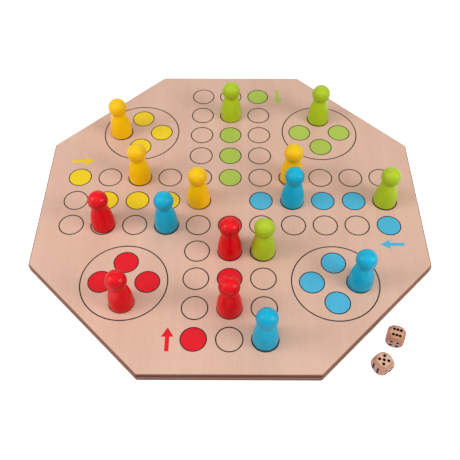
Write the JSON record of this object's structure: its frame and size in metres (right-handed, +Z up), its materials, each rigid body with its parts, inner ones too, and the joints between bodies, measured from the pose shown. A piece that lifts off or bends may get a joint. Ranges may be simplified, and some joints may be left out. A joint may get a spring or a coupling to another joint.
{
  "type": "ludo board game",
  "caption": "Flat octagonal wooden race-game board with a printed cross track and corner bases, turned pawns in four colours and wooden dice.",
  "frame": {"origin": "middle of the board's underside, on the table", "axes": "+Z up, +X to the blue player's side, -Y to the red player's side, where the picture is taken from"},
  "size_m": [0.382, 0.382, 0.0574],
  "materials": {
    "board_face": "clear satin varnish on sanded beech, grain front to back",
    "board_core": "sawn and sanded edge of the cross-grain middle ply",
    "line_ink": "thin dark brown-black printed line",
    "red_ink": "satin printed red",
    "blue_ink": "satin printed blue",
    "green_ink": "satin printed green",
    "yellow_ink": "satin printed yellow",
    "red_lacquer": "satin red lacquer on turned wood",
    "blue_lacquer": "satin blue lacquer on turned wood",
    "green_lacquer": "satin green lacquer on turned wood",
    "yellow_lacquer": "satin yellow lacquer on turned wood",
    "die_wood": "tumbled natural beech, waxed",
    "pip_paint": "black paint in drilled pips"
  },
  "bodies": {
    "board": {"face_ply": "board_face", "core_ply": "board_core", "back_ply": "board_face", "print_track_rings": "line_ink", "print_spot_rings": "line_ink", "print_base_circles": "line_ink", "print_red_spots": "red_ink", "print_red_arrow": "red_ink", "print_blue_spots": "blue_ink", "print_blue_arrow": "blue_ink", "print_green_spots": "green_ink", "print_green_arrow": "green_ink", "print_yellow_spots": "yellow_ink", "print_yellow_arrow": "yellow_ink"},
    "pawn_red_1": {"pawn_red_1": "red_lacquer"},
    "pawn_red_2": {"pawn_red_2": "red_lacquer"},
    "pawn_red_3": {"pawn_red_3": "red_lacquer"},
    "pawn_red_4": {"pawn_red_4": "red_lacquer"},
    "pawn_blue_1": {"pawn_blue_1": "blue_lacquer"},
    "pawn_blue_2": {"pawn_blue_2": "blue_lacquer"},
    "pawn_blue_3": {"pawn_blue_3": "blue_lacquer"},
    "pawn_blue_4": {"pawn_blue_4": "blue_lacquer"},
    "pawn_green_1": {"pawn_green_1": "green_lacquer"},
    "pawn_green_2": {"pawn_green_2": "green_lacquer"},
    "pawn_green_3": {"pawn_green_3": "green_lacquer"},
    "pawn_green_4": {"pawn_green_4": "green_lacquer"},
    "pawn_yellow_1": {"pawn_yellow_1": "yellow_lacquer"},
    "pawn_yellow_2": {"pawn_yellow_2": "yellow_lacquer"},
    "pawn_yellow_3": {"pawn_yellow_3": "yellow_lacquer"},
    "pawn_yellow_4": {"pawn_yellow_4": "yellow_lacquer"},
    "back_die": {"back_die": "die_wood", "back_die_pips": "pip_paint"},
    "front_die": {"front_die": "die_wood", "front_die_pips": "pip_paint"}
  },
  "joints": [
    {"name": "pawn_red_1_lift", "type": "slide", "parent": "board", "child": "pawn_red_1", "axis": [0, 0, 1], "range_m": [0, 0.06]},
    {"name": "pawn_red_2_lift", "type": "slide", "parent": "board", "child": "pawn_red_2", "axis": [0, 0, 1], "range_m": [0, 0.06]},
    {"name": "pawn_red_3_lift", "type": "slide", "parent": "board", "child": "pawn_red_3", "axis": [0, 0, 1], "range_m": [0, 0.06]},
    {"name": "pawn_red_4_lift", "type": "slide", "parent": "board", "child": "pawn_red_4", "axis": [0, 0, 1], "range_m": [0, 0.06]},
    {"name": "pawn_blue_1_lift", "type": "slide", "parent": "board", "child": "pawn_blue_1", "axis": [0, 0, 1], "range_m": [0, 0.06]},
    {"name": "pawn_blue_2_lift", "type": "slide", "parent": "board", "child": "pawn_blue_2", "axis": [0, 0, 1], "range_m": [0, 0.06]},
    {"name": "pawn_blue_3_lift", "type": "slide", "parent": "board", "child": "pawn_blue_3", "axis": [0, 0, 1], "range_m": [0, 0.06]},
    {"name": "pawn_blue_4_lift", "type": "slide", "parent": "board", "child": "pawn_blue_4", "axis": [0, 0, 1], "range_m": [0, 0.06]},
    {"name": "pawn_green_1_lift", "type": "slide", "parent": "board", "child": "pawn_green_1", "axis": [0, 0, 1], "range_m": [0, 0.06]},
    {"name": "pawn_green_2_lift", "type": "slide", "parent": "board", "child": "pawn_green_2", "axis": [0, 0, 1], "range_m": [0, 0.06]},
    {"name": "pawn_green_3_lift", "type": "slide", "parent": "board", "child": "pawn_green_3", "axis": [0, 0, 1], "range_m": [0, 0.06]},
    {"name": "pawn_green_4_lift", "type": "slide", "parent": "board", "child": "pawn_green_4", "axis": [0, 0, 1], "range_m": [0, 0.06]},
    {"name": "pawn_yellow_1_lift", "type": "slide", "parent": "board", "child": "pawn_yellow_1", "axis": [0, 0, 1], "range_m": [0, 0.06]},
    {"name": "pawn_yellow_2_lift", "type": "slide", "parent": "board", "child": "pawn_yellow_2", "axis": [0, 0, 1], "range_m": [0, 0.06]},
    {"name": "pawn_yellow_3_lift", "type": "slide", "parent": "board", "child": "pawn_yellow_3", "axis": [0, 0, 1], "range_m": [0, 0.06]},
    {"name": "pawn_yellow_4_lift", "type": "slide", "parent": "board", "child": "pawn_yellow_4", "axis": [0, 0, 1], "range_m": [0, 0.06]},
    {"name": "back_die_roll", "type": "hinge", "parent": "board", "child": "back_die", "pos_m": [0.15331, -0.15449, 0], "axis": [0.3239, 0.9461, 0], "range_deg": [0, 90]},
    {"name": "front_die_roll", "type": "hinge", "parent": "board", "child": "front_die", "pos_m": [0.13507, -0.18456, 0], "axis": [0.8536, 0.521, 0], "range_deg": [0, 90]}
  ]
}
